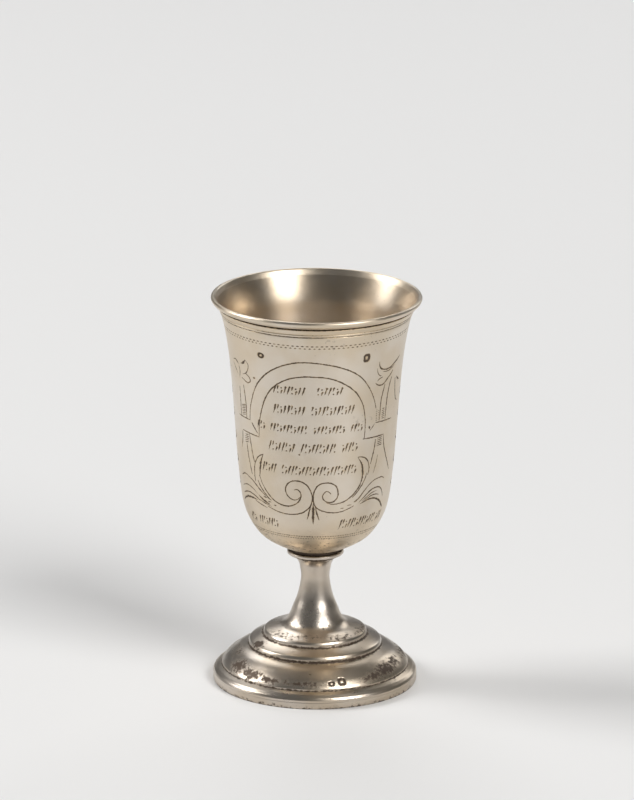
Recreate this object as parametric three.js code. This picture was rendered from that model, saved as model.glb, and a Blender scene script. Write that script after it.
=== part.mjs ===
// A silver kiddush cup: a tall beaker bowl with a moulded, everted lip, soldered through a thin turned
// collar to a hollow waisted stem that is raised in one with a round, stepped foot.
// Millimetres, +Z up. The cup stands on z = 0 with its axis on the z axis.
import * as THREE from "three";

// ---- Driving sizes ----
const HEIGHT = 125;
const LIP_RADIUS = 32.9; // outermost edge of the lip
const FOOT_RADIUS = 32.1; // widest part of the foot
const SHEET = 0.75; // thickness of the raised silver
const SIDES = 44; // flats round every turned shape

const COLLAR_RADIUS = 8.9;
const COLLAR_NECK_RADIUS = 8.1; // the groove between the collar's rim and the bowl
const COLLAR_TOP = 43.4; // the bowl's flat seat
const COLLAR_BOTTOM = 41.2; // the stem's top edge
const COLLAR_RIM_TOP = 42.35;
const COLLAR_EASE = 0.25; // rounding of the collar's rim
const SEAT_RADIUS = 8.6; // flat disc under the bowl
const CONTACT_WIDTH = 1.3; // flat ring that the foot stands on

// ---- Profiles: runs of [radius, height] in a plane through the axis ----

// Points of an arc about (r, z), between two angles in degrees from the outward radius towards +Z.
function arc(r, z, radius, from, to, steps) {
  const points = [];
  for (let i = 0; i <= steps; i++) {
    const a = THREE.MathUtils.degToRad(from + ((to - from) * i) / steps);
    points.push([r + radius * Math.cos(a), z + radius * Math.sin(a)]);
  }
  return points;
}

// Points of a smooth curve through the knots.
function sweep(knots, steps) {
  const through = new THREE.CatmullRomCurve3(knots.map(([r, z]) => new THREE.Vector3(r, z, 0)));
  return through.getPoints(steps).map((p) => [p.x, p.y]);
}

// The same run of points, moved square to itself towards its left by the given distance.
function offset(points, distance) {
  return points.map(([r, z], i) => {
    const [r0, z0] = points[Math.max(i - 1, 0)];
    const [r1, z1] = points[Math.min(i + 1, points.length - 1)];
    const length = Math.hypot(r1 - r0, z1 - z0);
    return [r - ((z1 - z0) / length) * distance, z + ((r1 - r0) / length) * distance];
  });
}

// ---- Bowl: a straight-sided beaker, drawn in low down to a flat seat and spread at the mouth ----

const BOWL_WALL_KNOTS = [
  [9.3, 43.7],
  [12.3, 45.1],
  [17, 48.15],
  [20, 52],
  [22.4, 57.5],
  [24.2, 70],
  [25.6, 88],
  [26.4, 98],
  [27.4, 107.5],
  [28.8, 115.8],
  [29.7, 119.4],
];

// Under the lip: a fine line, a thin bead, a slanting band and the deep line that sets the lip off.
const LIP_MOULDING = [
  [29.62, 119.6],
  [29.95, 119.8],
  [30.12, 120.15],
  [30.02, 120.45],
  [30.25, 120.6],
  [30.85, 121.95],
  [30.5, 122.2],
];
// The lip is thicker than the wall: its face bulges out to the widest edge, then rolls over the crest.
const LIP_FACE = [
  [30.75, 122.45],
  [31.7, 122.8],
  [32.5, 123.45],
];
const LIP_ROLL_RADIUS = 0.75;
const MOUTH = [
  [30.7, 123],
  [29.4, 120],
];
const FLOOR_SAG = 0.2; // the inside is a little lower in the middle

function bowlProfile() {
  const wall = sweep(BOWL_WALL_KNOTS, 14);
  const roll = arc(
    LIP_RADIUS - LIP_ROLL_RADIUS,
    HEIGHT - LIP_ROLL_RADIUS,
    LIP_ROLL_RADIUS,
    0,
    150,
    5,
  );
  const inner = offset(wall, SHEET).slice(0, -1).reverse();
  const floor = [0, COLLAR_TOP + SHEET - FLOOR_SAG];
  const seat = [
    [0, COLLAR_TOP],
    [SEAT_RADIUS, COLLAR_TOP],
  ];
  return [...seat, ...wall, ...LIP_MOULDING, ...LIP_FACE, ...roll, ...MOUTH, ...inner, floor];
}

// ---- Collar: a turned disc with a plain rim below and a narrow neck above it ----

function collarProfile() {
  return [
    [0, COLLAR_BOTTOM],
    [COLLAR_RADIUS - COLLAR_EASE, COLLAR_BOTTOM],
    [COLLAR_RADIUS, COLLAR_BOTTOM + COLLAR_EASE],
    [COLLAR_RADIUS, COLLAR_RIM_TOP - COLLAR_EASE],
    [COLLAR_RADIUS - COLLAR_EASE, COLLAR_RIM_TOP],
    [COLLAR_NECK_RADIUS, COLLAR_RIM_TOP + COLLAR_EASE],
    [COLLAR_NECK_RADIUS, COLLAR_TOP],
    [0, COLLAR_TOP],
  ];
}

// ---- Stem and foot: one raised shell, open below, in the order it is turned from the ground up ----

const BASE_EDGE = [
  [FOOT_RADIUS - 0.25, 0],
  [FOOT_RADIUS - 0.05, 0.35],
  [FOOT_RADIUS - 0.05, 1.9],
  [FOOT_RADIUS - 0.2, 2.2],
  [FOOT_RADIUS, 2.75],
  [FOOT_RADIUS - 0.35, 3.5],
  [FOOT_RADIUS - 1.3, 4.3],
];
const BASE_BEAD = [
  [29.7, 4.85],
  [29.3, 5.05],
  [29.35, 5.6],
  [29, 6.1],
];
const DOME_KNOTS = [
  [28.75, 6.45],
  [27.7, 7.6],
  [26.1, 8.85],
  [24, 10.2],
  [21.3, 11.25],
];
const LOWER_STEP = [
  [20.85, 11.5],
  [20.95, 12.35],
  [20.55, 13.15],
  [19.6, 13.65],
  [17.2, 14.55],
];
const UPPER_STEP = [
  [16.4, 14.8],
  [16.2, 15.15],
  [16.25, 15.75],
  [15.8, 16.4],
  [14.9, 16.75],
];
const STEM_KNOTS = [
  [12.6, 17.3],
  [10.8, 17.95],
  [9.2, 19.1],
  [8.05, 21.1],
  [6.95, 23.95],
  [5.7, 27.1],
  [4.75, 31.2],
  [4.46, 33.9],
  [4.8, 36.4],
  [5.3, 38.4],
  [6.4, 39.9],
  [8.6, COLLAR_BOTTOM],
];
// The hollow side of the two steps, rounder than their outer side, as sheet comes off the hammer.
const STEPS_INSIDE = [
  [20, 11.2],
  [19.3, 12.6],
  [15.8, 13.7],
  [14.9, 15.2],
];

function footProfile() {
  const dome = sweep(DOME_KNOTS, 5);
  const stem = sweep(STEM_KNOTS, 12);
  const ground = [FOOT_RADIUS - 0.25 - CONTACT_WIDTH, 0];
  const underBase = [FOOT_RADIUS - 1.05, 3];
  const inside = [
    ground,
    underBase,
    ...offset(sweep(DOME_KNOTS, 3), SHEET),
    ...STEPS_INSIDE,
    ...offset(sweep(STEM_KNOTS, 6), SHEET).slice(0, -1),
    [STEM_KNOTS.at(-1)[0] - 1.5 * SHEET, COLLAR_BOTTOM],
  ];
  const outside = [...BASE_EDGE, ...BASE_BEAD, ...dome, ...LOWER_STEP, ...UPPER_STEP, ...stem];
  return [...outside, ...inside.reverse(), BASE_EDGE[0]];
}

// ---- Pieces ----

const SILVER = { metalness: 1, color: 0xc9c2b4 };
const SATIN = new THREE.MeshStandardMaterial({ ...SILVER, roughness: 0.42, name: "satin silver" });
const POLISHED = new THREE.MeshStandardMaterial({ ...SILVER, roughness: 0.25, name: "polished silver" });

function turned(name, profile, material) {
  const section = profile.map(([r, z]) => new THREE.Vector2(r, z));
  const geometry = new THREE.LatheGeometry(section, SIDES);
  geometry.rotateX(Math.PI / 2);
  const mesh = new THREE.Mesh(geometry, material);
  mesh.name = name;
  return mesh;
}

const cup = new THREE.Group();
cup.add(
  turned("bowl", bowlProfile(), SATIN),
  turned("collar", collarProfile(), POLISHED),
  turned("stem_and_foot", footProfile(), POLISHED),
);

export default cup;
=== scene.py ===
import math
import random

import bmesh
import bpy
import numpy as np
from mathutils import Matrix, Vector
from mathutils.geometry import delaunay_2d_cdt


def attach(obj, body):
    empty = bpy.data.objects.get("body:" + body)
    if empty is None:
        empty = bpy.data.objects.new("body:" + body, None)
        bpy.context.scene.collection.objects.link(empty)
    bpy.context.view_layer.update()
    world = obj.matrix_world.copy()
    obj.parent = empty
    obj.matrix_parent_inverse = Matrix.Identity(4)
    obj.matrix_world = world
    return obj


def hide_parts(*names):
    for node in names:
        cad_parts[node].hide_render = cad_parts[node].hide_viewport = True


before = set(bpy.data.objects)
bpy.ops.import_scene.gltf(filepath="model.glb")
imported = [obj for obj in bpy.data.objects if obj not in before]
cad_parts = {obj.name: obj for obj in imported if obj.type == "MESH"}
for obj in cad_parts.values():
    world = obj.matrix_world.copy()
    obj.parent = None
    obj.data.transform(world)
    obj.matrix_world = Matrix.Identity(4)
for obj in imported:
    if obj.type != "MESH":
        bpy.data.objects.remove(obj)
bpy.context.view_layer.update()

# ---- The table and the studio ----
# The cup stands on a plain pale table that runs on out of sight. Two soft lights, one ahead on the
# right and one straight to the left, give the silver its bright bands. A wide one lights the table
# behind, and a small low one behind on the right picks out the foot's rim.

TABLE_HALF = 9.0  # metres
bpy.ops.mesh.primitive_plane_add(size=2 * TABLE_HALF)
table = bpy.context.object
table.name = "table"
paint = bpy.data.materials.new("pale table")
paint.use_nodes = True
top = paint.node_tree.nodes["Principled BSDF"]
top.inputs["Base Color"].default_value = (0.8, 0.8, 0.8, 1)
top.inputs["Roughness"].default_value = 0.75
top.inputs["Specular IOR Level"].default_value = 0.2
table.data.materials.append(paint)

room = bpy.data.worlds.new("room")
room.use_nodes = True
room.node_tree.nodes["Background"].inputs["Color"].default_value = (0.80, 0.80, 0.79, 1)
room.node_tree.nodes["Background"].inputs["Strength"].default_value = 0.14
bpy.context.scene.world = room
bpy.context.scene.view_settings.view_transform = "Standard"


def soft_light(name, place, aim, width, height, watts, warmth=(1, 1, 1)):
    """A rectangular soft box at a place, turned to face a point."""
    data = bpy.data.lights.new(name, "AREA")
    data.shape = "RECTANGLE"
    data.size, data.size_y = width, height
    data.energy = watts
    data.color = warmth
    light = bpy.data.objects.new(name, data)
    light.location = place
    light.rotation_euler = (Vector(aim) - Vector(place)).to_track_quat("-Z", "Y").to_euler()
    bpy.context.scene.collection.objects.link(light)


def around_cup(azimuth, elevation, distance):
    """A place seen from the cup at an azimuth from the camera's side, to the right, and an elevation."""
    a, e = math.radians(azimuth), math.radians(elevation)
    flat = distance * math.cos(e)
    return (flat * math.sin(a), -flat * math.cos(a), distance * math.sin(e))


CUP_MIDDLE = (0, 0, 0.06)
TABLE_BEHIND = (0, 1.2, 0)
soft_light("right light", around_cup(42, 40, 2.6), CUP_MIDDLE, 1.1, 1.25, 46, (1.0, 0.99, 0.975))
soft_light("left light", around_cup(-99, 36, 2.6), CUP_MIDDLE, 0.95, 1.2, 41, (1.0, 0.99, 0.98))
soft_light("far light", (-0.2, 2.3, 2.0), TABLE_BEHIND, 1.8, 1.2, 21)
soft_light("rim light", around_cup(146, 28, 1.5), CUP_MIDDLE, 0.3, 0.6, 1.6)

CAMERA_BACK, CAMERA_HEIGHT, CAMERA_SIDE = 1.94569, 0.66385, 0.00027
LOOK_DOWN = math.radians(16.4045)
CAMERA_ROLL = math.radians(0.2711)
lens = bpy.data.cameras.new("camera")
lens.lens = 292.5
camera = bpy.data.objects.new("camera", lens)
camera.matrix_world = (
    Matrix.Translation((CAMERA_SIDE, -CAMERA_BACK, CAMERA_HEIGHT))
    @ Matrix.Rotation(math.pi / 2 - LOOK_DOWN, 4, "X")
    @ Matrix.Rotation(CAMERA_ROLL, 4, "Z")
)
bpy.context.scene.collection.objects.link(camera)
bpy.context.scene.camera = camera

# ---- The bowl ----
# A tall beaker raised from one sheet of silver, its mouth spread and finished with a thick moulded lip.
# It is engraved after turning: an arched panel front and back, scrolls and leaves, two rolled borders.
# Satin outside from long rubbing round and round; the cuts have kept a brown-black tarnish.

MM = 0.001  # every length below is in millimetres, and a mesh is made in metres
LIP_RADIUS, RIM_HEIGHT, SHEET = 32.9, 125.0, 0.75
SEAT_RADIUS, SEAT_HEIGHT = 8.6, 43.4
BOWL_WALL = [
    (9.3, 43.7), (12.3, 45.1), (17, 48.15), (20, 52), (22.4, 57.5), (24.2, 70),
    (25.6, 88), (26.4, 98), (27.4, 107.5), (28.8, 115.8), (29.7, 119.4),
]  # fmt: skip
# Runs of (radius, height, darkness): the mouldings under the lip, darker in their recesses, and the lip's
# face.
LIP_MOULDING = [
    (29.55, 119.52, 0.75), (29.95, 119.8, 0), (30.12, 120.15, 0), (30.02, 120.42, 0.3),
    (30.25, 120.6, 0.1), (30.85, 121.95, 0.1), (30.45, 122.22, 1),
]  # fmt: skip
LIP_FACE = [(30.8, 122.5, 0.2), (31.7, 122.8, 0), (32.5, 123.45, 0)]
LIP_ROLL = 0.75  # radius of the lip's rounded top
MOUTH_EDGE = (30.7, 123)  # where the inside leaves the lip
FLOOR_SAG = 0.2
ENGRAVED_FROM, ENGRAVED_TO = 50.8, 119.2
SEAT_TINT, SEAT_TINT_RISE = 0.17, 0.012  # a golden tint low on the bowl, a little darker towards the seat, and its gain a mm further down
COLUMNS = 192  # flats round each turned piece


def through(knots, steps):
    """Points of a smooth curve through the knots, spaced evenly from knot to knot."""
    p = np.array(knots, float)
    p = np.vstack([2 * p[0] - p[1], p, 2 * p[-1] - p[-2]])
    made = []
    for k in np.linspace(0, len(knots) - 1, steps + 1):
        i = min(int(k), len(knots) - 2)
        a, b, c, d = p[i : i + 4]
        ab, bc, cd = (max(math.dist(u, v) ** 0.5, 1e-4) for u, v in ((a, b), (b, c), (c, d)))
        leave = ((b - a) / ab - (c - a) / (ab + bc) + (c - b) / bc) * bc
        reach = ((c - b) / bc - (d - b) / (bc + cd) + (d - c) / cd) * bc
        w = k - i
        made.append(
            (2 * w**3 - 3 * w**2 + 1) * b + (w**3 - 2 * w**2 + w) * leave
            + (3 * w**2 - 2 * w**3) * c + (w**3 - w**2) * reach
        )  # fmt: skip
    return np.array(made)


def inward(run, distance):
    """The run of (radius, height), moved square to itself towards its left."""
    along = np.gradient(run, axis=0)
    along /= np.linalg.norm(along, axis=1)[:, None]
    return run + distance * np.stack([-along[:, 1], along[:, 0]], 1)


def eased(run, ease=0.16):
    """A run of (radius, height, tarnish and painted shade) with each corner rounded as worn metal is."""
    gentle, most_used, shoulder = 12, 0.33, 1.35  # degrees, share of a side, and a point before the arc
    run = [np.array(p, float) for p in run]
    made = [run[0]]
    for before, corner, after in zip(run, run[1:], run[2:]):
        back, on = before - corner, after - corner
        a, b = math.hypot(*back[:2]), math.hypot(*on[:2])
        turn = math.degrees(math.acos(np.clip(-(back[:2] @ on[:2]) / (a * b), -1, 1)))
        if turn < gentle:
            made.append(corner)
            continue
        u, v = back * min(ease / a, most_used), on * min(ease / b, most_used)
        made.append(corner + shoulder * u)
        for w in (0, 0.25, 0.5, 0.75, 1):
            made.append(corner + u * (1 - w) ** 2 + v * w**2)
        made.append(corner + shoulder * v)
    return [*made, run[-1]]


def step(tree, kind, settings=None, **sockets):
    """Adds a node to a tree of geometry nodes, makes its settings, then fills or links its sockets."""
    node = tree.nodes.new(kind)
    for name, value in (settings or {}).items():
        setattr(node, name, value)
    for name, value in sockets.items():
        socket = node.inputs[int(name[1:])] if name[1:].isdigit() else node.inputs[name]
        if isinstance(value, bpy.types.NodeSocket):
            tree.links.new(value, socket)
        else:
            socket.default_value = value
    return node.outputs[0]


def lathe():
    """Geometry nodes that sweep a profile, a row of points in the xz plane, once round the z axis."""
    tree = bpy.data.node_groups.new("lathe", "GeometryNodeTree")
    for name, kind in (("Profile", "Geometry"), ("Sides", "Int"), ("Finish", "Material")):
        tree.interface.new_socket(name, in_out="INPUT", socket_type="NodeSocket" + kind)
    tree.interface.new_socket("Turned", in_out="OUTPUT", socket_type="NodeSocketGeometry")
    given = tree.nodes.new("NodeGroupInput").outputs

    def maths(operation, a, b=0.0):
        return step(tree, "ShaderNodeMath", {"operation": operation}, _0=a, _1=b)

    count = step(tree, "GeometryNodeAttributeDomainSize", Geometry=given["Profile"])
    around = maths("ADD", given["Sides"], 1.0)
    sizes = {"Vertices X": count, "Vertices Y": around}
    grid = step(tree, "GeometryNodeMeshGrid", **sizes)
    index = step(tree, "GeometryNodeInputIndex")
    along = maths("FLOOR", maths("DIVIDE", maths("ADD", index, 0.5), around))
    side = maths("SUBTRACT", index, maths("MULTIPLY", along, around))
    angle = maths("DIVIDE", side, given["Sides"])
    angle = maths("MULTIPLY", angle, 2 * math.pi)
    point = step(
        tree,
        "GeometryNodeSampleIndex",
        {"data_type": "FLOAT_VECTOR"},
        Geometry=given["Profile"],
        Value=step(tree, "GeometryNodeInputPosition"),
        Index=along,
    )
    split = step(tree, "ShaderNodeSeparateXYZ", Vector=point).node
    place = step(
        tree,
        "ShaderNodeCombineXYZ",
        X=maths("MULTIPLY", split.outputs["X"], maths("SINE", angle)),
        Y=maths("MULTIPLY", split.outputs["X"], maths("MULTIPLY", maths("COSINE", angle), -1.0)),
        Z=split.outputs["Z"],
    )
    # Tarnish and painted shade, carried from the profile round to every point.
    dark = step(
        tree,
        "GeometryNodeSampleIndex",
        {"data_type": "FLOAT"},
        Geometry=given["Profile"],
        Value=step(tree, "GeometryNodeInputNamedAttribute", {"data_type": "FLOAT"}, Name="tarnish_and_shade"),
        Index=along,
    )
    turned = step(
        tree,
        "GeometryNodeStoreNamedAttribute",
        {"data_type": "FLOAT", "domain": "POINT"},
        Geometry=grid,
        Name="tarnish_and_shade",
        Value=dark,
    )
    turned = step(tree, "GeometryNodeSetPosition", Geometry=turned, Position=place)
    turned = step(tree, "GeometryNodeMergeByDistance", Geometry=turned, Distance=1e-6)
    turned = step(tree, "GeometryNodeFlipFaces", Mesh=turned)
    turned = step(tree, "GeometryNodeSetShadeSmooth", Geometry=turned)
    turned = step(tree, "GeometryNodeRealizeInstances", Geometry=turned)
    turned = step(tree, "GeometryNodeSetMaterial", Geometry=turned, Material=given["Finish"])
    tree.links.new(turned, tree.nodes.new("NodeGroupOutput").inputs["Turned"])
    return tree


LATHE = lathe()


def turn(name, run, finish):
    """A piece turned on the lathe from a run of (radius, height, tarnish and painted shade), lengths in
    millimetres.
    """
    mesh = bpy.data.meshes.new(name)
    mesh.from_pydata([(r * MM, 0, z * MM) for r, z, _ in run], [], [])
    mesh.attributes.new("tarnish_and_shade", "FLOAT", "POINT").data.foreach_set(
        "value", [float(t) for _, _, t in run]
    )
    piece = bpy.data.objects.new(name, mesh)
    bpy.context.scene.collection.objects.link(piece)
    nodes = piece.modifiers.new("lathe", "NODES")
    nodes.node_group = LATHE
    given = {s.name: s.identifier for s in LATHE.interface.items_tree if s.in_out == "INPUT"}
    nodes[given["Sides"]] = COLUMNS
    nodes[given["Finish"]] = finish
    seen = piece.evaluated_get(bpy.context.evaluated_depsgraph_get())
    made = bpy.data.meshes.new_from_object(seen)
    piece.modifiers.remove(nodes)
    piece.data = made
    return piece


# The engraving is laid out flat, in millimetres: along the wall from the middle of the front, at a
# wall radius of 25, and up from the table. Each cut is (knots, widths from its start to its end).
FLAT_RADIUS = 25.0
LAP = 2 * math.pi * FLAT_RADIUS
HAIR = (0.24, 0.4, 0.4, 0.4, 0.24)
FINE = (0.12, 0.3, 0.3, 0.12)
SWELL = (0.15, 0.5, 0.75, 0.6, 0.2)
BLADE = (0.2, 0.6, 0.9, 0.5, 0.1)

ARCH = [
    ([(-23, 89.2), (-22.5, 93.1), (-21.3, 96.8), (-19.4, 100.9), (-16.9, 104.2), (-13.6, 107.2),
      (-9.7, 109.5), (-5.4, 110.9), (-2, 111.1), (1.9, 110.6), (5.8, 109.6), (9.7, 107.9),
      (13.6, 105.1), (16.5, 101.3), (18.7, 97.2), (19.8, 93.9)], HAIR),
    ([(-19.2, 84.7), (-19, 87.2), (-18.6, 90), (-17.9, 92.7), (-16.5, 96.6), (-14.4, 100.3),
      (-11.4, 103.3), (-7.7, 105.4), (-3.8, 106.3), (0, 106.3), (3.8, 105.8), (7.7, 104),
      (11.6, 100.9), (14.4, 96.6), (15.6, 92), (15.9, 88), (15.7, 84.8)], HAIR),
]  # fmt: skip
LEDGES = [
    ([(-29.4, 89.4), (-23, 89.1)], HAIR), ([(-27.5, 84.8), (-19.1, 84.4)], HAIR),
    ([(-22.2, 88.4), (-21, 87), (-19.8, 85.5)], (0.5, 0.4, 0.2)),
    ([(20.1, 89.1), (28.4, 88.6)], HAIR), ([(15.3, 84.6), (24.5, 84.3)], HAIR),
    ([(19.6, 88.8), (17.8, 86.9)], FINE), ([(17.4, 88.4), (17.6, 87.6)], (0.3, 0.6, 0.3)),
]  # fmt: skip
PILLARS = [
    ([(-24.7, 89.4), (-24.6, 94), (-24.9, 97), (-25.2, 100)], HAIR),
    ([(-27.9, 89.5), (-27.8, 94), (-27.6, 99)], HAIR),
    ([(21.7, 89.4), (21.7, 93), (21.9, 96.5), (22.5, 99), (23.1, 101)], HAIR),
    ([(24.5, 89.3), (24.6, 93), (24.9, 97), (25.5, 100.2), (26.4, 102.6)], HAIR),
    ([(-27.8, 84.3), (-28.1, 81.7), (-29.2, 78.6)], HAIR),
    ([(-23.7, 84.2), (-23.2, 80.9), (-22.4, 77), (-21.8, 75.5)], HAIR),
    ([(-25.5, 81), (-25.1, 77.4), (-24.3, 73.9), (-23.6, 71.2)], HAIR),
    ([(20.4, 83.5), (20.2, 80.9), (19.5, 78.2), (18.9, 75.8)], HAIR),
    ([(24.4, 83.9), (24.7, 81.3), (25.7, 78.6), (27.3, 75.5), (28.8, 73.1), (29.8, 71.5)], HAIR),
    ([(22, 78.2), (21.4, 75.5), (20.4, 72.3)], FINE),
]  # fmt: skip
LILIES = [
    ([(-23.3, 108.7), (-23.8, 107.8), (-24.6, 107.3), (-25.7, 107)], BLADE),
    ([(-23.2, 108.7), (-22, 107.5), (-22.4, 105.6), (-23.6, 104.2), (-25.1, 103.6)], FINE),
    ([(-23.4, 104.2), (-21.8, 103.1), (-21.6, 102.1), (-22.8, 101.3), (-24.3, 101.7),
      (-25.7, 102.3)], HAIR),
    ([(-30.2, 107.2), (-28.9, 107.6), (-27.7, 107), (-26.9, 106.4)], HAIR),
    ([(-30.4, 106.2), (-29.4, 104.6), (-28, 103)], FINE),
    ([(-26.9, 106.2), (-26.6, 104), (-27.2, 101.8)], FINE),
    ([(19.7, 109.1), (19.9, 107.7), (20.6, 106.8), (21.8, 106.2), (23.4, 105.9), (24.9, 106),
      (26.5, 106.6), (28.4, 107.5), (30.4, 108.5)], (0.2, 0.5, 0.4, 0.5, 0.6, 0.3)),
    ([(19.1, 107), (19.5, 105.4), (20.4, 104.4), (21.2, 104.2)], FINE),
    ([(21.6, 105.5), (23.2, 105.2), (25.2, 105.4), (27.6, 106.5)], FINE),
    ([(19.5, 102.8), (20.4, 103.4), (21.8, 103.7)], FINE),
    ([(18.9, 102.2), (19.8, 101.5), (21.4, 101.1), (23, 101.7), (24.1, 102.7), (25.3, 103.4),
      (26.7, 104.8)], (0.2, 0.4, 0.4, 0.55, 0.3)),
    ([(29.8, 101.9), (30.9, 100.9), (32.3, 100.4)], SWELL),
    ([(28.8, 101.7), (29.2, 99.3), (29.8, 96.6), (30.8, 94.3), (32, 93.5)], HAIR),
]  # fmt: skip
SCROLLS = [
    # the left scroll's horn, its inner line to the eye, and its outer line
    ([(-17.8, 79), (-19.8, 78), (-21, 76.6), (-21.8, 75.1), (-22.2, 73.1), (-22.3, 71.2),
      (-22.1, 69.2)], HAIR),
    ([(-17.9, 78.8), (-18.7, 77.2), (-19.2, 75.5), (-19.5, 73.5), (-19.8, 71.3)], BLADE),
    ([(-19.9, 71.6), (-19, 69.2), (-17.7, 67.4), (-15.9, 65.5), (-14, 64.1), (-11.6, 63.3),
      (-9.3, 63.1), (-7.3, 63.7), (-5.8, 64.7), (-4.9, 66.3), (-4.8, 67.6), (-5.4, 68.6), (-6.2, 69),
      (-6.95, 68.8)], HAIR),
    ([(-20.9, 69.8), (-19.8, 68), (-18.2, 66.2), (-16.6, 64.7), (-15.6, 64.2)], HAIR),
    ([(-5.1, 66.5), (-5.8, 65.8), (-7.15, 65.4), (-8.5, 65.9), (-9.6, 67.05), (-10, 68.6), (-9.5, 70.2),
      (-8.1, 71.5), (-6.2, 71.9), (-4.2, 71.5), (-2.5, 70.2), (-1.5, 68.4), (-1.05, 66.5), (-1.25, 64.9),
      (-1.8, 63.5), (-2.8, 62.4), (-4.2, 61.4), (-6.2, 60.7), (-8.5, 60.4), (-10.9, 60.45), (-13.2, 60.8),
      (-15.2, 61.3), (-17.2, 61.9)], HAIR),
    # the right scroll
    ([(4.9, 67.6), (4.3, 68.3), (3.4, 68.5), (2.6, 67.8), (2.2, 66.7), (2.6, 65.7), (3.8, 64.9),
      (5.4, 64.8), (6.6, 65.5), (7.3, 66.7), (7.3, 68.2), (6.8, 69.8), (5.4, 71), (3.8, 71.4), (1.9, 71.2),
      (0.5, 70.3),
      (-0.4, 68.8), (-0.75, 67.25), (-0.8, 65.7), (-0.45, 64.1), (0.4, 62.95), (1.9, 62.1), (3.8, 61.5),
      (6.2, 61.2), (8.9, 61.4), (11.25, 62.1), (13.2, 62.8)], HAIR),
    ([(3.6, 64.6), (5.8, 64.1), (8.1, 64.3), (10.1, 64.9), (11.6, 65.8), (13, 66.9), (14.2, 68.2),
      (15.2, 69.8)], (0.2, 0.36, 0.4, 0.5)),
    ([(15.1, 69.5), (15.7, 71.3), (15.9, 73.1), (15.7, 75.1), (15.35, 76.4), (14.6, 77.6),
      (13.8, 78.7)], BLADE),
    ([(13.8, 78.9), (15.2, 78.8), (16.5, 78.2), (17.7, 77), (18.3, 75.3), (18.3, 73.5), (17.9, 72.5)], HAIR),
    ([(17.5, 73.1), (17.1, 71.5), (16.3, 70), (15.2, 68.4), (13.8, 66.9), (12.4, 65.7)], HAIR),
    # the lance and its two blades between them
    ([(-0.8, 64.4), (-0.85, 61.5), (-0.8, 57.4)], (0.2, 0.85, 0.9, 0.12)),
    ([(-1.5, 64), (-2.1, 61.8), (-2.85, 59.1)], (0.15, 0.35, 0.6, 0.15)),
    ([(-0.2, 64), (0.4, 61.2), (1.2, 58.9)], (0.15, 0.35, 0.6, 0.15)),
]  # fmt: skip
LEAVES = [
    ([(-26.9, 70.2), (-24.9, 69.6), (-23.4, 69), (-21.4, 67.6), (-19.8, 66.5), (-17.9, 65.3)], HAIR),
    ([(-31, 69.2), (-28.8, 70.2), (-26.9, 70.2)], HAIR),
    ([(-31.2, 65.7), (-28.8, 66.6), (-26.9, 66.9), (-24, 66.4), (-21.6, 65.2)], FINE),
    ([(-31, 63.3), (-28.8, 64.2), (-26.1, 64.7), (-23.4, 64.3), (-20.6, 63.2)], HAIR),
    ([(-31.8, 60.8), (-29.6, 62.2), (-26.9, 63), (-24.1, 63.2), (-22, 63)], (0.3, 0.7, 0.6, 0.2)),
    ([(-21.1, 64.9), (-19.1, 63.7), (-16.3, 62.7)], SWELL),
    ([(-20.7, 63.4), (-18.3, 62.7), (-15.7, 62.1)], FINE),
    ([(-23.2, 62.7), (-20.2, 61.9), (-17.5, 61.3)], FINE), ([(-18.8, 64.9), (-17.4, 64.7)], (0.2, 0.5, 0.2)),
    ([(-16.9, 63.6), (-15.7, 63.5)], (0.2, 0.5, 0.2)), ([(-14.5, 62.7), (-13.8, 62.7)], (0.2, 0.5, 0.3)),
    ([(13.4, 64.1), (14.8, 64.9), (16.3, 66.5), (17.9, 68), (19.8, 69.4), (21.8, 70.1), (23.75, 70.2),
      (25.3, 70.1), (26.7, 69.4)], (0.5, 0.4, 0.3, 0.3, 0.3)),
    ([(15.2, 63.6), (17.5, 65.4), (19.8, 66.8), (22.2, 67.3), (24.5, 66.9), (26.1, 65.5),
      (27.1, 63.3)], HAIR),
    ([(16.4, 63.9), (18.5, 65), (20.6, 65.9), (23, 66.1)], FINE),
    ([(16.8, 63.7), (18.6, 64.4), (20.6, 65), (23, 64.9), (24.5, 64.4)], FINE),
    ([(15.7, 63.1), (18.7, 63.9), (21, 64), (23.4, 63.3), (25.3, 62.2), (26.9, 60.6), (27.7, 59.6)],
     (0.2, 0.5, 0.5, 0.6, 0.7, 0.3)),
    ([(10.9, 63.3), (12.3, 63.3)], (0.2, 0.45, 0.2)), ([(8.5, 62.5), (9.5, 62.5)], (0.2, 0.4, 0.2)),
]  # fmt: skip
# Rows of wedge ticks on the front, in place of writing: (left, right, foot, head, gaps between groups).
TICK_ROWS = [
    (-13, 8.8, 100.2, 102.6, (-2.4, -0.6)), (-13.2, 11.8, 93.6, 96.3, (-2.6,)),
    (-19.6, 15.2, 87.5, 89.9, (-15.8, -1.6, 9.8)), (-15.4, 14, 81.1, 84, (-5.6, 7.4)),
    (-18.2, 13.8, 73.8, 76.6, (-11.6,)), (-27.6, -12.8, 55.2, 57.9, (-23.6,)),
    (8.4, 28.4, 55.4, 58.4, (24.4,)),
]  # fmt: skip


def hatch(first, last, low, high, rise, count):
    """A ladder of short cuts from one height to another between two uprights."""
    rungs = [low + (high - low) * k / (count - 1) for k in range(count)]
    return [([(first, rung), (last, rung + rise)], FINE) for rung in rungs]


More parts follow.
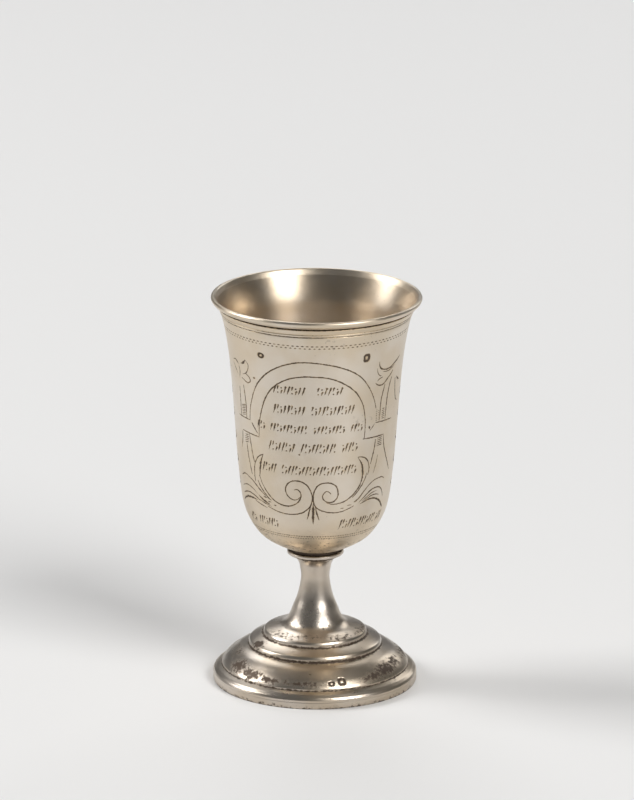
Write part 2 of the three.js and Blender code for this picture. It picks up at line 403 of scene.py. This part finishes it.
def tick_row(left, right, foot, head, gaps, dice):
    """A row of separate wedge cuts that all lean one way, long and short by turns, as rays are cut."""
    tall, cuts, at, count = head - foot, [], left + 0.4, 0
    while at < right - 0.3:
        if any(abs(at - g) < 0.8 for g in gaps):
            at += 0.8
            continue
        low, high = ((0, 1), (0.55, 1), (0, 0.45), (0.1, 0.95))[count % 4]
        low, high = foot + low * tall, head - (1 - high) * tall
        lean = 0.3 * (high - low)
        cuts.append(([(at - lean / 2, low), (at + lean / 2, high)], (0.12, 0.5, 0.62)))
        if count % 4 in (1, 2):
            other = foot + (0.12 if count % 4 == 1 else 0.78) * tall
            cuts.append(([(at - 0.1, other), (at + 0.12, other + 0.12)], (0.3, 0.5, 0.3)))
        at += 1.12 + dice.uniform(-0.06, 0.06)
        count += 1
    return cuts


PANEL = [
    *ARCH, *LEDGES, *PILLARS, *LILIES, *SCROLLS, *LEAVES,
    *hatch(-27.2, -24.9, 89.9, 93.1, 0.6, 7), *hatch(22.6, 23.9, 89.9, 93, 0.05, 6),
    *hatch(-26.4, -24.1, 81.3, 83.7, 0.25, 5), *hatch(21.2, 23.6, 81.2, 83.6, 0.15, 5),
    *hatch(20, 20.45, 89.7, 93.2, 0, 7), *hatch(20.95, 21.3, 89.8, 92.8, 0, 6),
]  # fmt: skip
SPRAY_LEAF = (
    (((0.06, 0), (0.5, 2.6), (0.95, 3.6), (1, 5.4)), SWELL),
    (((0.06, 0.3), (0.3, 3.4), (0.95, 5.5)), FINE),
)
SPRAY = [([(0, 56.5), (0.3, 70), (-0.3, 86), (0, 100)], HAIR)]
for level, reach in ((62, 4.2), (69.5, 4.4), (77, 4.2), (84.5, 3.8), (91.5, 3.2)):
    for side in (-1, 1):
        SPRAY += [
            ([(side * x * reach, level + y) for x, y in leaf], widths)
            for leaf, widths in SPRAY_LEAF
        ]
SPRAY += [([(0, 100), (x, 103), (0, 106.5)], SWELL) for x in (-1.8, 1.8)]

dice = random.Random(18)
cuts = [cut for row in TICK_ROWS for cut in tick_row(*row, dice)]
for turned_by, motif in ((0, PANEL), (-LAP / 2, PANEL), (-LAP / 4, SPRAY), (-3 * LAP / 4, SPRAY)):
    cuts += [([(s + turned_by, z) for s, z in knots], widths) for knots, widths in motif]
# The two rolled borders: staggered double rows of short dashes, all the way round but for one dash
# that would cross the seam. Each is (heights of its rows, dashes in a row, their length and width).
BORDERS = [((116.5, 115.7), 120, 0.6, 0.5), ((52.7, 51.9), 156, 0.5, 0.46)]
SEAM = 41 * LAP / COLUMNS  # where the flat wall's two ends meet, on an edge of the turned pieces
for rows, dashes, long, wide in BORDERS:
    for k in range(2 * dashes - 1):
        s = SEAM - (k + 1) * LAP / (2 * dashes) + 0.01
        ends = [(s - long / 2, rows[k % 2]), (s + long / 2, rows[k % 2])]
        cuts.append((ends, (0.2, wide, 0.2)))

# Small punched marks, left blank: (along, height, half width, half height, squareness).
PUNCHES = [(-16.5, 111.8, 1.15, 0.9, 2.2), (14.8, 111.4, 1.05, 1.35, 3.2)]
PUNCH_DEPTH = 0.13
# Spots of old tarnish eaten into the surface: (along, height, radius along, radius up).
SPOTS = [(-19.8, 103.6, 0.4, 0.3), (-5.1, 80.6, 0.25, 0.25)]

STATION = 0.42  # from one cross-section of a cut to the next
GUARD = 1.55  # flat strip kept beside each cut, in half widths
CLEAR = 2.6  # no other points of the wall come closer to a cut, in half widths
CUT_DEPTH = 0.085
ROW = 1.15  # height of a row of points on the plain wall
points, edges, segments = [], [], []
for knots, widths in cuts:
    length = sum(math.dist(a, b) for a, b in zip(knots, knots[1:]))
    count = max(2, round(length / STATION))
    line = through(knots, count)
    half = np.interp(np.linspace(0, 1, count + 1), np.linspace(0, 1, len(widths)), widths) / 2
    ahead = np.gradient(line, axis=0)
    ahead /= np.maximum(np.linalg.norm(ahead, axis=1), 1e-9)[:, None]
    side = np.stack([-ahead[:, 1], ahead[:, 0]], 1)
    segments += [(*line[i], half[i], *line[i + 1], half[i + 1]) for i in range(count)]
    for share in (0, 1, -1, GUARD, -GUARD):
        start = len(points)
        points += list(line + side * (half * share)[:, None])
        edges += [(start + i, start + i + 1) for i in range(count)]
    # Flat points just past both ends, so that neighbouring cuts don't run together.
    points.append(line[0] - ahead[0] * (1.2 * half[0] + 0.06))
    points.append(line[-1] + ahead[-1] * (1.2 * half[-1] + 0.06))
segments = np.array(segments)
segments = segments[np.argsort(segments[:, 0])]


def nearest_cut(flat):
    """Each point's distance from the closest cut's middle line, in half widths of the cut there."""
    share = np.full(len(flat), 9.0)  # out of reach of every cut
    order = np.argsort(flat[:, 0])
    for block in np.array_split(order, max(1, len(flat) // 300)):
        p = flat[block]
        near = segments[
            (segments[:, 0] > p[:, 0].min() - 2) & (segments[:, 0] < p[:, 0].max() + 2)
        ]
        if not len(near):
            continue
        a, b = near[:, None, 0:2], near[:, None, 3:5]
        t = ((p - a) * (b - a)).sum(2) / np.maximum(((b - a) ** 2).sum(2), 1e-9)
        t = np.clip(t, 0, 1)
        d = np.linalg.norm(p - (a + (b - a) * t[..., None]), axis=2)
        w = near[:, None, 2] * (1 - t) + near[:, None, 5] * t
        share[block] = np.min(d / np.maximum(w, 0.03), axis=0)
    return share


def punched(x, y, square):
    """Depth and tarnish of a blank punched mark at x, y in shares of its half width and half height."""
    edge = (np.abs(x) ** square + np.abs(y) ** square) ** (1 / square)
    sunk = np.clip((1.15 - edge) / 0.3, 0, 1)
    boss = np.clip((0.62 - edge) / 0.35, 0, 1)
    return PUNCH_DEPTH * (sunk - 0.75 * boss), sunk * (1 - 0.8 * boss)


row_count = round((ENGRAVED_TO - ENGRAVED_FROM) / ROW)
ground = [
    (SEAM - LAP + LAP * i / COLUMNS, ENGRAVED_FROM + (ENGRAVED_TO - ENGRAVED_FROM) * j / row_count)
    for j in range(row_count + 1)
    for i in range(COLUMNS + 1)
]
fine_spots = [(s, z, 1.9 * a, 1.9 * b, 0.16) for s, z, a, b, _ in PUNCHES]
fine_spots += [(s, z, 2 * a, 2 * b, 0.14) for s, z, a, b in SPOTS]
for s, z, a, b, gap in fine_spots:
    ground += [(s + x, z + y) for x in np.arange(-a, a, gap) for y in np.arange(-b, b, gap)]
ground = np.array(ground)
on_edge = np.zeros(len(ground), bool)
for axis, border in ((1, ENGRAVED_FROM), (1, ENGRAVED_TO), (0, SEAM), (0, SEAM - LAP)):
    on_edge |= np.abs(ground[:, axis] - border) < 1e-6
ground = ground[on_edge | (nearest_cut(ground) > CLEAR)]
points += list(ground)
flat, _, triangles, *_ = delaunay_2d_cdt(
    [Vector(map(float, p)) for p in points], edges, [], 0, 1e-4, False
)
flat = np.array([tuple(p) for p in flat])

wall = through(BOWL_WALL, 600)
share = nearest_cut(flat)
cut = np.clip(1 - share, 0, 1)
depth = CUT_DEPTH * np.minimum(cut * 1.4, 1)
low_tint = SEAT_TINT * np.exp(-(((flat[:, 1] - ENGRAVED_FROM) / 8) ** 2))
tarnish_and_shade = np.where(cut > 0, 0.45 + 0.7 * cut, low_tint)
for s, z, a, b, square in PUNCHES:
    sunk, dirt = punched((flat[:, 0] - s) / a, (flat[:, 1] - z) / b, square)
    depth += sunk
    tarnish_and_shade = np.maximum(tarnish_and_shade, dirt)
for s, z, a, b in SPOTS:
    edge = np.hypot((flat[:, 0] - s) / a, (flat[:, 1] - z) / b)
    tarnish_and_shade = np.maximum(tarnish_and_shade, 0.8 * np.clip(1.5 - edge, 0, 1))
radius = np.interp(flat[:, 1], wall[:, 1], wall[:, 0]) - depth
angle = flat[:, 0] / FLAT_RADIUS
around = np.stack([radius * np.sin(angle), -radius * np.cos(angle), flat[:, 1]], 1) * MM

engraved = bpy.data.meshes.new("engraved wall")
engraved.from_pydata(around.tolist(), [], triangles)
engraved.attributes.new("tarnish_and_shade", "FLOAT", "POINT").data.foreach_set("value", tarnish_and_shade.astype(float))


class Tone:
    """A number that varies over a finish. Arithmetic on it adds the finish's own Math nodes."""

    def __init__(self, finish, socket):
        self.finish, self.socket = finish, socket

    def _with(self, operation, *others):
        return self.finish.add(
            "ShaderNodeMath", {"operation": operation}, {k: v for k, v in enumerate(others)}
        )

    def __add__(self, other):
        return self._with("ADD", self, other)

    def __sub__(self, other):
        return self._with("SUBTRACT", self, other)

    def __rsub__(self, other):
        return self._with("SUBTRACT", other, self)

    def __mul__(self, other):
        return self._with("MULTIPLY", self, other)

    def __truediv__(self, other):
        return self._with("DIVIDE", self, other)

    def __pow__(self, other):
        return self._with("POWER", self, other)

    __radd__, __rmul__ = __add__, __mul__

    def between(self, low, high):
        """0 where the number is at low or under, 1 at high or over, and smooth from one to the other."""
        return self.finish.add(
            "ShaderNodeMapRange",
            {"interpolation_type": "SMOOTHSTEP"},
            {"Value": self, "From Min": low, "From Max": high},
        )

    def most(self, other):
        """The larger of the two."""
        return self._with("MAXIMUM", self, other)


class Finish:
    """A surface finish: one material, with every node made by add()."""

    def __init__(self, name):
        self.material = bpy.data.materials.new(name)
        self.material.use_nodes = True
        self.tree = self.material.node_tree
        self.tree.nodes.clear()
        self.place = self.add("ShaderNodeTexCoord", out="Object")

    def add(self, kind, settings=None, sockets=None, out=None):
        """Adds a node, makes its settings, then fills or links its sockets; gives one of its outputs."""
        node = self.tree.nodes.new(kind)
        for name, value in (settings or {}).items():
            setattr(node, name, value)
        for name, value in (sockets or {}).items():
            found = [s for s in node.inputs if s.identifier == name]
            socket = found[0] if found else node.inputs[name]
            if isinstance(value, Tone):
                self.tree.links.new(value.socket, socket)
            else:
                socket.default_value = value
        found = [s for s in node.outputs if out in (None, s.identifier, s.name)]
        return Tone(self, found[0]) if found else None

    def noise(self, at, scale, detail=2.0, roughness=0.5):
        return self.add(
            "ShaderNodeTexNoise",
            sockets={"Vector": at, "Scale": scale, "Detail": detail, "Roughness": roughness},
            out="Fac",
        )

    def blend(self, share, a, b):
        """Colour a where the share is 0 and colour b where it is 1."""
        return self.add(
            "ShaderNodeMix",
            {"data_type": "RGBA"},
            {"Factor_Float": share, "A_Color": a, "B_Color": b},
            out="Result_Color",
        )


BOWL_TONE = (0.7, 0.63, 0.535, 1)


def tinted(colour, tint):
    return tuple(c * k for c, k in zip(colour, tint))


def silver(name, polish, brushing, tarnish_reach, colour, anisotropy, gilt=0.85):
    """Old silver: rubbed round and round, with brown-black tarnish where a cloth doesn't reach, and with
    shade painted dark in gaps and angles by the same attribute.

    polish is its roughness, brushing the strength of the rubbed relief, tarnish_reach how dark its
    loose spots are, and gilt how yellow it is where the tarnish is thin.
    """
    finish = Finish(name)
    split = finish.add("ShaderNodeSeparateXYZ", sockets={"Vector": finish.place}, out="X")
    x, y, z = (Tone(finish, s) for s in split.socket.node.outputs)
    out = (x * x + y * y + 1e-8) ** 0.5
    # Long round the axis and thin along it, so that noise on it runs round as the marks of rubbing do.
    ring = finish.add(
        "ShaderNodeCombineXYZ",
        sockets={"X": x / out * 0.06, "Y": y / out * 0.06, "Z": z * 8},
        out="Vector",
    )
    rubbed = finish.noise(ring, 900, 3.0, 0.7)
    streak = finish.noise(ring, 160, 2.0, 0.6)
    cloud = finish.noise(finish.place, 60, 3.0)
    speck = finish.noise(finish.place, 900, 4.0, 0.65)
    # Tarnish, and shade painted dark in gaps and angles, read from one attribute.
    tarnish_and_shade_amount = finish.add("ShaderNodeAttribute", {"attribute_name": "tarnish_and_shade"}, out="Fac")
    dark = (tarnish_and_shade_amount * 1.3 + (speck - 0.5) * 2.6 * tarnish_and_shade_amount.between(0, 0.25)).between(0.3, 0.85)
    spotted = (speck - 0.5 + (cloud - 0.5) * 0.9).between(0.26, 0.32) * tarnish_reach
    dark = dark.most(spotted)
    film = tarnish_and_shade_amount.between(0, 0.3) * gilt
    mottled = finish.noise(finish.place, 28, 4.0, 0.6)
    pale, tan = tinted(colour, (1.03, 1.03, 1.04, 1)), tinted(colour, (0.95, 0.9, 0.82, 1))
    gold, brown = tinted(colour, (0.86, 0.74, 0.54, 1)), tinted(colour, (0.15, 0.12, 0.1, 1))
    warm = finish.blend(film, finish.blend(mottled.between(0.4, 0.6), pale, tan), gold)
    base = finish.blend(dark, warm, brown)
    rough = polish + (cloud - 0.5) * 0.1 + (streak - 0.5) * 0.08 + dark * 0.25
    relief = rubbed * 0.6 + streak * 0.4
    normal = finish.add(
        "ShaderNodeBump",
        sockets={"Strength": brushing, "Distance": 0.00012, "Height": relief},
        out="Normal",
    )
    shader = finish.add(
        "ShaderNodeBsdfPrincipled",
        sockets={
            "Base Color": base,
            "Roughness": rough,
            "Metallic": 1 - dark * 0.35,
            "Normal": normal,
            "Anisotropic": anisotropy,
            "Anisotropic Rotation": 0.25,
        },
        out="BSDF",
    )
    finish.add("ShaderNodeOutputMaterial", sockets={"Surface": shader})
    return finish.material


bowl_silver = silver("satin silver, engraved", 0.36, 0.5, 0.25, BOWL_TONE, 0.45)
roll = [
    (
        LIP_RADIUS - LIP_ROLL + LIP_ROLL * math.cos(a),
        RIM_HEIGHT - LIP_ROLL + LIP_ROLL * math.sin(a),
        0,
    )
    for a in np.radians(np.arange(0, 151, 10))
]
inside = inward(wall[::6], SHEET)[:-1][::-1]
inside = inside[inside[:, 0] > 1]
bend, straight = 9, 15  # points of the inside that guide the mouth's bend, and where it ends
mouth = through([roll[-1][:2], MOUTH_EDGE, tuple(inside[bend]), tuple(inside[straight])], 30)
lip_run = [
    (np.interp(ENGRAVED_TO, wall[:, 1], wall[:, 0]), ENGRAVED_TO, 0),
    *eased([(29.62, 119.38, 0.1), *LIP_MOULDING, *LIP_FACE, roll[0]], 0.12),
    *roll[1:],
    *[(r, h, 0) for r, h in mouth[1:-1]],
    *[(r, h, 0) for r, h in inside[straight:]],
    (0, SEAT_HEIGHT + SHEET - FLOOR_SAG, 0),
]
low_wall = [
    (r, h, SEAT_TINT + SEAT_TINT_RISE * (ENGRAVED_FROM - h))
    for r, h in wall[::6]
    if h < ENGRAVED_FROM - 0.3
]
# The seat's underside and its rounded edge, in the gap above the collar, are painted dark as shade.
seat_edge = [(6, SEAT_HEIGHT, 1), (SEAT_RADIUS, SEAT_HEIGHT, 1), (*BOWL_WALL[0], 0.3), low_wall[1]]
seat_run = [
    (0, SEAT_HEIGHT, 1),
    *eased(seat_edge, 0.1),
    *low_wall[2:],
    (np.interp(ENGRAVED_FROM, wall[:, 1], wall[:, 0]), ENGRAVED_FROM, SEAT_TINT),
]
bowl = turn("bowl_engraved", lip_run, bowl_silver)
seat = turn("bowl_seat", seat_run, bowl_silver)
whole = bmesh.new()
for mesh in (bowl.data, seat.data, engraved):
    whole.from_mesh(mesh)
bmesh.ops.remove_doubles(whole, verts=whole.verts, dist=2e-6)
for face in whole.faces:
    face.smooth = True
whole.to_mesh(bowl.data)
whole.free()
bpy.data.objects.remove(seat)
bowl.data.materials.clear()
bowl.data.materials.append(bowl_silver)
INSIDE_TONE = (0.6, 0.53, 0.445, 1)
bowl.data.materials.append(silver("satin silver, inside", 0.32, 0.25, 0.2, INSIDE_TONE, 0.5))
INSIDE_FROM, INSIDE_TO = 43.9, 123.2
for face in bowl.data.polygons:
    outward = face.center.xy.normalized() @ face.normal.xy
    if INSIDE_FROM < face.center.z / MM < INSIDE_TO and outward < 0.05 and face.normal.z > -0.2:
        face.material_index = 1
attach(bowl, "root")
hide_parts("bowl")

# ---- The collar ----
# A small disc turned from thicker silver and soldered between the bowl's seat and the stem. Its rim
# is rubbed bright; the narrow neck above the rim and the rim's underside are painted black as shade.

# The third figures: 1 on the neck, and 1 and 0.7 under the rim, are painted shade in the gaps beside the
# rim.
COLLAR_RUN = [
    (0, 41.2, 1), (8.65, 41.2, 0.7), (8.9, 41.45, 0.1), (8.9, 42.1, 0.05), (8.65, 42.35, 0.3),
    (8.1, 42.6, 1), (8.1, 43.4, 1), (0, 43.4, 1),
]  # fmt: skip
FOOT_TONE = (0.59, 0.53, 0.46, 1)
foot_silver = silver("old polished silver", 0.3, 0.35, 0.7, FOOT_TONE, 0.3, 0.12)
collar = turn("collar_turned", eased(COLLAR_RUN, 0.12), foot_silver)
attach(collar, "root")
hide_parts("collar")

# ---- The stem and foot ----
# A waisted stem and a round foot of two steps, a flat dome and a plain base, raised as one hollow
# shell. The steps are rubbed bright at their edges, and the angles between them are painted dark as shade.

FOOT_RADIUS, COLLAR_BOTTOM = 32.1, 41.2
# The dark figures of the base are painted shade: 0.6 and 0.3 at the bottom edge are a contact shadow on the
# table, 0.8 is in the groove beside the bead.
BASE_EDGE = [
    (31.85, 0, 0.6), (32.05, 0.35, 0.3), (32.05, 1.9, 0.05), (31.98, 2.2, 0.15), (32.1, 2.75, 0),
    (31.75, 3.5, 0), (30.8, 4.3, 0), (29.7, 4.85, 0.2), (29.3, 5.05, 0.8), (29.35, 5.6, 0.1),
    (29, 6.1, 0.1),
]  # fmt: skip
DOME = [(28.75, 6.45), (27.7, 7.6), (26.1, 8.85), (24, 10.2), (21.3, 11.25)]
# The 0.9 figures, at the foot of each step's wall, are painted shade in the angle.
STEPS = [
    (20.85, 11.5, 0.9), (20.95, 12.35, 0.1), (20.55, 13.15, 0), (19.6, 13.65, 0), (17.2, 14.55, 0.1),
    (16.4, 14.8, 0.9), (16.2, 15.15, 0.3), (16.25, 15.75, 0), (15.8, 16.4, 0), (14.9, 16.75, 0),
]  # fmt: skip
STEM = [
    (12.6, 17.3), (10.8, 17.95), (9.2, 19.1), (8.05, 21.1), (6.95, 23.95), (5.7, 27.1),
    (4.75, 31.2), (4.46, 33.9), (4.8, 36.4), (5.3, 38.4), (6.4, 39.9), (8.6, COLLAR_BOTTOM),
]  # fmt: skip
BASE_INSIDE = [(FOOT_RADIUS - 1.55, 0, 0.5), (FOOT_RADIUS - 1.05, 3, 0.6)]
STEPS_INSIDE = [(20, 11.2, 0.6), (19.3, 12.6, 0.6), (15.8, 13.7, 0.6), (14.9, 15.2, 0.6)]
stem_line = through(STEM, 66)
dome_line = through(DOME, 20)
under = [
    *BASE_INSIDE,
    *[(r, h, 0.5) for r, h in inward(through(DOME, 12), SHEET)],
    *STEPS_INSIDE,
    *[(r, h, 0.6) for r, h in inward(through(STEM, 24), SHEET)[:-1]],
    (STEM[-1][0] - 1.5 * SHEET, COLLAR_BOTTOM, 0.6),
]
STEM_DARK_FROM, STEM_DARK = 39.4, 0.75  # painted shade and dark reflection under the collar
stem_painted_shade = [
    STEM_DARK * max(0, (h - STEM_DARK_FROM) / (COLLAR_BOTTOM - STEM_DARK_FROM)) ** 0.8
    for _, h in stem_line
]
foot_run = [
    *eased([*BASE_EDGE, (*dome_line[0], 0.1)], 0.18)[:-1],
    *[(r, h, 0.05) for r, h in dome_line[:-1]],
    *eased([(*dome_line[-1], 0.3), *STEPS, (*stem_line[0], 0.05)], 0.2)[:-1],
    *[(r, h, dark) for (r, h), dark in zip(stem_line, stem_painted_shade)],
    *eased(under[::-1], 0.3),
    BASE_EDGE[0],
]
foot = turn("stem_and_foot_raised", foot_run, foot_silver)
# Old tarnish left in patches on the dome and steps: (degrees round from the front to the right,
# radius, spread in degrees, spread in mm, how dark).
PATCHES = [
    (-60, 27.2, 10, 2.0, 0.85), (-46, 27.9, 10, 1.6, 0.85), (-31, 28.2, 11, 1.0, 0.7),
    (-10, 28.3, 18, 0.9, 0.62), (40, 27.9, 11, 1.2, 0.7), (54, 27.1, 11, 2.0, 0.82),
    (68, 26.3, 10, 1.6, 0.7), (-64, 20.0, 9, 1.1, 0.9), (-45, 14.0, 28, 1.6, 0.6),
    (-8, 13.4, 24, 1.6, 0.58), (34, 14.0, 24, 1.8, 0.66), (75, 14.4, 24, 1.7, 0.6),
    (-80, 24.6, 14, 2.0, 0.5), (24, 8.8, 20, 1.4, 0.42), (-40, 9.4, 16, 1.4, 0.42),
    (96, 27.3, 14, 1.7, 0.66), (150, 27.6, 20, 1.4, 0.62), (-120, 27.2, 18, 1.6, 0.66),
    (185, 14.2, 40, 1.4, 0.55), (-160, 26.3, 14, 1.7, 0.6),
]  # fmt: skip
# Two small punched marks on the dome, left blank: (degrees, radius, half width, half height, squareness).
FOOT_PUNCHES = [(10.6, 28.2, 1.0, 0.8, 2.4), (17.6, 27.8, 1.25, 1.35, 3.2)]
DOME_SLOPE = 1.35  # length along the dome for each millimetre of radius there
PATCHED_FROM, PATCHED_TO = 5.5, 20  # heights
shell = bmesh.new()
shell.from_mesh(foot.data)
# Tarnish and painted shade from the lathe, to which the patches and punched marks add.
tarnish_and_shade_amount = shell.verts.layers.float["tarnish_and_shade"]


def round_from(vert, degrees_round):
    """The angle in radians from a bearing round to the vertex, and the vertex's radius."""
    x, y = vert.co.x / MM, vert.co.y / MM
    off = math.remainder(math.atan2(x, -y) - math.radians(degrees_round), 2 * math.pi)
    return off, math.hypot(x, y)


for bearing, radius, *_ in FOOT_PUNCHES:
    near = set()
    for face in shell.faces:
        corner = face.verts[0]
        off, r = round_from(corner, bearing)
        on_dome = corner.co.z / MM > 5.9 and face.normal.z > 0
        if abs(off * r) < 2.6 and abs(r - radius) < 2.0 and on_dome:
            near |= set(face.edges)
    bmesh.ops.subdivide_edges(shell, edges=list(near), cuts=4, use_grid_fill=True)
shell.normal_update()
for vert in shell.verts:
    if vert.normal.z < 0.05 or not PATCHED_FROM < vert.co.z / MM < PATCHED_TO:
        continue
    for bearing, radius, wide, spread, how in PATCHES:
        off, r = round_from(vert, bearing)
        fade = math.exp(-((off / math.radians(wide)) ** 2) - ((r - radius) / spread) ** 2)
        vert[tarnish_and_shade_amount] = max(vert[tarnish_and_shade_amount], how * fade)
    for bearing, radius, wide, tall, square in FOOT_PUNCHES:
        off, r = round_from(vert, bearing)
        sunk, dirt = punched(off * r / wide, (radius - r) * DOME_SLOPE / tall, square)
        if sunk or dirt:
            vert.co -= vert.normal * float(sunk) * MM
            vert[tarnish_and_shade_amount] = max(vert[tarnish_and_shade_amount], float(dirt))
bmesh.ops.triangulate(shell, faces=[f for f in shell.faces if len(f.verts) > 4])
for face in shell.faces:
    face.smooth = True
shell.to_mesh(foot.data)
shell.free()
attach(foot, "root")
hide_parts("stem_and_foot")
